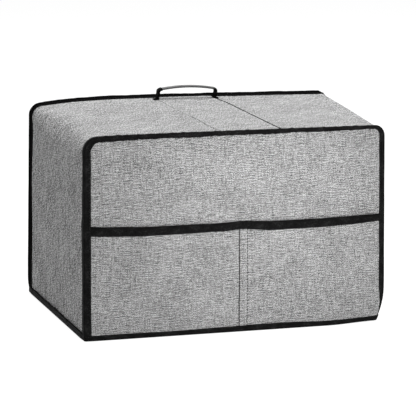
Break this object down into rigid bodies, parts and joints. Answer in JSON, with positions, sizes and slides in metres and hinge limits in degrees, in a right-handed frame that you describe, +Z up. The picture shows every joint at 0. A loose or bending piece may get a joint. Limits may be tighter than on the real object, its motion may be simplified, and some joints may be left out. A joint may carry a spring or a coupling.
{
  "type": "printer enclosure tent",
  "caption": "Soft box-shaped printer enclosure of padded linen-look cloth, taped edges and open base, with flat front pockets and a folding strap handle on top.",
  "frame": {"origin": "on the floor, under the middle of the whole box", "axes": "+X to the right seen from the front and along the widest side, +Y to the back, +Z up"},
  "size_m": [0.471, 0.342, 0.3248],
  "materials": {
    "linen_cloth": "matte linen-look melange weave, mid grey",
    "wadding": "matte felted wadding",
    "lining_cloth": "matte plain lining cloth, dark grey",
    "binding_tape": "matte woven binding tape, black",
    "strap_tape": "matte woven strap, black",
    "grip_strap": "smooth woven strap, grey"
  },
  "bodies": {
    "cover": {"front_panel_cover": "linen_cloth", "front_panel_padding": "wadding", "front_panel_lining": "lining_cloth", "rear_panel_cover": "linen_cloth", "rear_panel_padding": "wadding", "rear_panel_lining": "lining_cloth", "wrap_band_cover": "linen_cloth", "wrap_band_padding": "wadding", "wrap_band_lining": "lining_cloth", "front_edge_binding": "binding_tape", "rear_edge_binding": "binding_tape", "hem_binding_front": "binding_tape", "hem_binding_rear": "binding_tape", "hem_binding_left": "binding_tape", "hem_binding_right": "binding_tape", "pocket_centre_seam": "linen_cloth", "pocket_mouth_binding_centre": "binding_tape", "handle_base_strip": "linen_cloth", "handle_foot_left": "strap_tape", "handle_foot_right": "strap_tape"},
    "pocket_left": {"pocket_panel_left": "linen_cloth", "pocket_mouth_binding_left": "binding_tape"},
    "pocket_right": {"pocket_panel_right": "linen_cloth", "pocket_mouth_binding_right": "binding_tape"},
    "handle": {"handle_loop_left": "strap_tape", "handle_loop_right": "strap_tape", "handle_grip": "grip_strap"}
  },
  "joints": [
    {"name": "pocket_left_mouth", "type": "hinge", "parent": "cover", "child": "pocket_left", "pos_m": [0, -0.1697, 0.0074], "axis": [1, 0, 0], "range_deg": [0, 8], "stiffness_Nm_per_rad": 0.05, "springref_deg": -6.88},
    {"name": "pocket_right_mouth", "type": "hinge", "parent": "cover", "child": "pocket_right", "pos_m": [0, -0.1697, 0.0074], "axis": [1, 0, 0], "range_deg": [0, 8], "stiffness_Nm_per_rad": 0.05, "springref_deg": -6.88},
    {"name": "handle_fold", "type": "hinge", "parent": "cover", "child": "handle", "pos_m": [0.00771, 0.1425, 0.3114], "axis": [1, 0, 0], "range_deg": [-80, 80], "stiffness_Nm_per_rad": 0.02}
  ]
}
